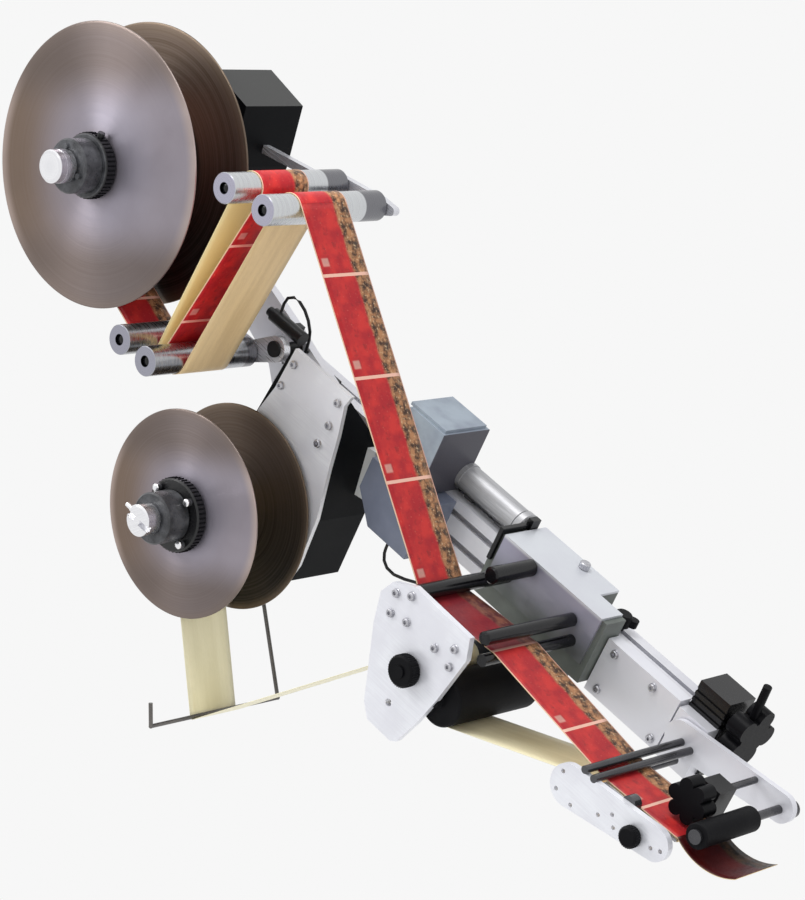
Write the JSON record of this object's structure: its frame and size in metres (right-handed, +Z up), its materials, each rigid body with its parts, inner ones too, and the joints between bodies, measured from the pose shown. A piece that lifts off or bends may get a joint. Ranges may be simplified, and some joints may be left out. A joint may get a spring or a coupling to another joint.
{
  "type": "label dispensing head",
  "caption": "Label dispensing head on a slanting beam, with an unwinding and a rewinding reel, guide rollers, dancer arm, driven nip and swinging peel plate.",
  "frame": {"origin": "centre of the carrier flange's rear face", "axes": "+Y to the rear along the reel shafts and out of the carrier flange, +Z up, +X towards the dispensing end, to which the beam slopes down at 30 degrees"},
  "size_m": [1.1117, 0.3333, 0.8712],
  "materials": {
    "beam": "satin anodised",
    "black_trim": "satin black",
    "carrier": "turned",
    "light_plate": "satin anodised",
    "screws": "plain",
    "black_housing": "fine black paint",
    "bearing_steel": "ground",
    "shaft_steel": "turned",
    "rear_disc": "smoky, glossy",
    "front_disc": "smoky, glossy",
    "label_roll": "wound labels",
    "liner_roll": "wound liner",
    "black_hub": "satin",
    "bright_knob": "turned",
    "roller": "turned",
    "bracket": "satin",
    "sensor": "satin",
    "connector": "semi-gloss",
    "wire": "dark",
    "grey_case": "satin grey-blue",
    "motor": "drawn tube",
    "cable": "matte",
    "casing": "satin dark grey",
    "panel": "satin sheet",
    "rubber_roller": "ground rubber",
    "pressure_roller": "dark, ground",
    "black_knob": "satin",
    "blade": "ground",
    "label_web": "printed, semi-gloss",
    "liner": "siliconised paper"
  },
  "bodies": {
    "frame": {"backbone": "beam", "beam_trim": "black_trim", "carrier_flange": "carrier", "mid_block": "light_plate", "frame_screws": "screws", "support_plate": "light_plate", "unwind_housing": "black_housing", "housing_covers": "black_housing", "shaft_bearings": "bearing_steel", "roller_bracket": "bracket", "dancer_sensor": "sensor", "rewind_housing": "black_housing", "connector_block": "connector", "gearbox_case": "grey_case", "control_case": "grey_case", "drive_motor": "motor", "control_cables": "cable", "drive_plate": "light_plate", "drive_casing": "casing", "casing_panel": "panel", "drive_bars": "black_trim", "carriage": "light_plate", "web_feed": "label_web", "web_loop": "label_web", "web_run": "label_web", "liner_return": "liner", "liner_tail": "liner"},
    "unwind_reel": {"unwind_mandrel": "shaft_steel", "unwind_rear_disc": "rear_disc", "label_roll": "label_roll"},
    "unwind_flange": {"unwind_front_disc": "front_disc", "unwind_hub": "black_hub"},
    "unwind_clamp": {"unwind_knob": "bright_knob"},
    "rewind_reel": {"rewind_mandrel": "shaft_steel", "rewind_rear_disc": "rear_disc", "liner_roll": "liner_roll"},
    "rewind_flange": {"rewind_front_disc": "front_disc", "rewind_hub": "black_hub"},
    "rewind_clamp": {"rewind_knob": "bright_knob"},
    "roller_1": {"guide_roller_1": "roller"},
    "roller_2": {"guide_roller_2": "roller"},
    "roller_3": {"guide_roller_3": "roller"},
    "roller_4": {"guide_roller_4": "roller"},
    "dancer": {"dancer_arm": "bracket"},
    "liner_guide": {"liner_wire": "wire"},
    "drive_roll": {"drive_roller": "rubber_roller"},
    "pressure_link": {"pressure_arms": "shaft_steel"},
    "pressure_roll": {"pressure_roller": "pressure_roller"},
    "nip_control": {"nip_knob": "black_knob"},
    "drive_clamp": {"clamp_lever": "black_knob"},
    "peel_head": {"peel_front_plate": "light_plate", "peel_rear_plate": "light_plate", "peel_blade": "blade", "peel_rods": "shaft_steel", "web_peel": "label_web"},
    "label_sensor": {"sensor_block": "sensor"},
    "sensor_clamp": {"star_knob": "black_knob"},
    "peel_clamp": {"peel_knob": "black_knob"},
    "press_roll": {"press_roller": "rubber_roller"},
    "head_lock": {"lock_knob": "black_knob"}
  },
  "joints": [
    {"name": "unwind_spin", "type": "hinge", "parent": "frame", "child": "unwind_reel", "pos_m": [-0.52072, -0.217, 0.49809], "axis": [0, 1, 0], "continuous": true},
    {"name": "unwind_flange_slide", "type": "slide", "parent": "unwind_reel", "child": "unwind_flange", "axis": [0, -1, 0], "range_m": [0, 0.12]},
    {"name": "unwind_clamp_turn", "type": "hinge", "parent": "unwind_flange", "child": "unwind_clamp", "pos_m": [-0.52072, -0.318, 0.49809], "axis": [0, 1, 0], "range_deg": [-180, 180]},
    {"name": "rewind_spin", "type": "hinge", "parent": "frame", "child": "rewind_reel", "pos_m": [-0.37853, -0.217, 0.09037], "axis": [0, 1, 0], "continuous": true},
    {"name": "rewind_flange_slide", "type": "slide", "parent": "rewind_reel", "child": "rewind_flange", "axis": [0, -1, 0], "range_m": [0, 0.12]},
    {"name": "rewind_clamp_turn", "type": "hinge", "parent": "rewind_flange", "child": "rewind_clamp", "pos_m": [-0.37853, -0.318, 0.09037], "axis": [0, 1, 0], "range_deg": [-180, 180]},
    {"name": "roller_1_spin", "type": "hinge", "parent": "frame", "child": "roller_1", "pos_m": [-0.2648, -0.208, 0.47735], "axis": [0, 1, 0], "continuous": true},
    {"name": "roller_2_spin", "type": "hinge", "parent": "frame", "child": "roller_2", "pos_m": [-0.20437, -0.208, 0.45401], "axis": [0, 1, 0], "continuous": true},
    {"name": "dancer_swing", "type": "hinge", "parent": "frame", "child": "dancer", "pos_m": [-0.34928, -0.125, 0.27902], "axis": [0, 1, 0], "range_deg": [-25, 10], "deforming": ["web_feed", "web_loop"]},
    {"name": "roller_3_spin", "type": "hinge", "parent": "dancer", "child": "roller_3", "pos_m": [-0.43876, -0.223, 0.29604], "axis": [0, 1, 0], "continuous": true},
    {"name": "roller_4_spin", "type": "hinge", "parent": "dancer", "child": "roller_4", "pos_m": [-0.39533, -0.223, 0.27327], "axis": [0, 1, 0], "continuous": true},
    {"name": "liner_guide_swing", "type": "hinge", "parent": "frame", "child": "liner_guide", "pos_m": [-0.41192, -0.118, 0.05653], "axis": [0, 1, 0], "range_deg": [-20, 20], "deforming": ["liner_tail"]},
    {"name": "drive_spin", "type": "hinge", "parent": "frame", "child": "drive_roll", "pos_m": [0.03093, -0.198, -0.07444], "axis": [0, 1, 0], "continuous": true},
    {"name": "nip_turn", "type": "hinge", "parent": "frame", "child": "nip_control", "pos_m": [-0.00118, -0.288, -0.04204], "axis": [0, 1, 0], "range_deg": [0, 90]},
    {"name": "pressure_open", "type": "hinge", "parent": "frame", "child": "pressure_link", "pos_m": [-0.0455, -0.208, -0.07881], "axis": [0, 1, 0], "range_deg": [-8, 0], "deforming": ["liner_return"]},
    {"name": "pressure_spin", "type": "hinge", "parent": "pressure_link", "child": "pressure_roll", "pos_m": [-0.00266, -0.203, -0.04085], "axis": [0, 1, 0], "continuous": true},
    {"name": "drive_clamp_turn", "type": "hinge", "parent": "frame", "child": "drive_clamp", "pos_m": [0.1203, -0.058, -0.00364], "axis": [0.5, 0, 0.866], "range_deg": [-60, 60]},
    {"name": "peel_swing", "type": "hinge", "parent": "frame", "child": "peel_head", "pos_m": [0.24173, -0.198, -0.11531], "axis": [0, 1, 0], "range_deg": [-10, 12], "deforming": ["liner_return"]},
    {"name": "label_sensor_slide", "type": "slide", "parent": "peel_head", "child": "label_sensor", "axis": [0, 1, 0], "range_m": [0, 0.04]},
    {"name": "sensor_clamp_turn", "type": "hinge", "parent": "peel_head", "child": "sensor_clamp", "pos_m": [0.33873, -0.218, -0.1413], "axis": [0, 1, 0], "range_deg": [-90, 90]},
    {"name": "peel_clamp_turn", "type": "hinge", "parent": "peel_head", "child": "peel_clamp", "pos_m": [0.30584, -0.284, -0.17427], "axis": [0, 1, 0], "range_deg": [-90, 90]},
    {"name": "press_roller_spin", "type": "hinge", "parent": "peel_head", "child": "press_roll", "pos_m": [0.36937, -0.208, -0.16823], "axis": [0, 1, 0], "continuous": true},
    {"name": "head_lock_turn", "type": "hinge", "parent": "frame", "child": "head_lock", "pos_m": [0.29064, -0.058, -0.1066], "axis": [0.866, 0, -0.5], "range_deg": [-60, 60]}
  ],
  "couplings": [
    {"joint": "pressure_open", "follows": "nip_turn", "ratio": -0.08},
    {"joint": "pressure_spin", "follows": "drive_spin", "ratio": -1.875}
  ]
}
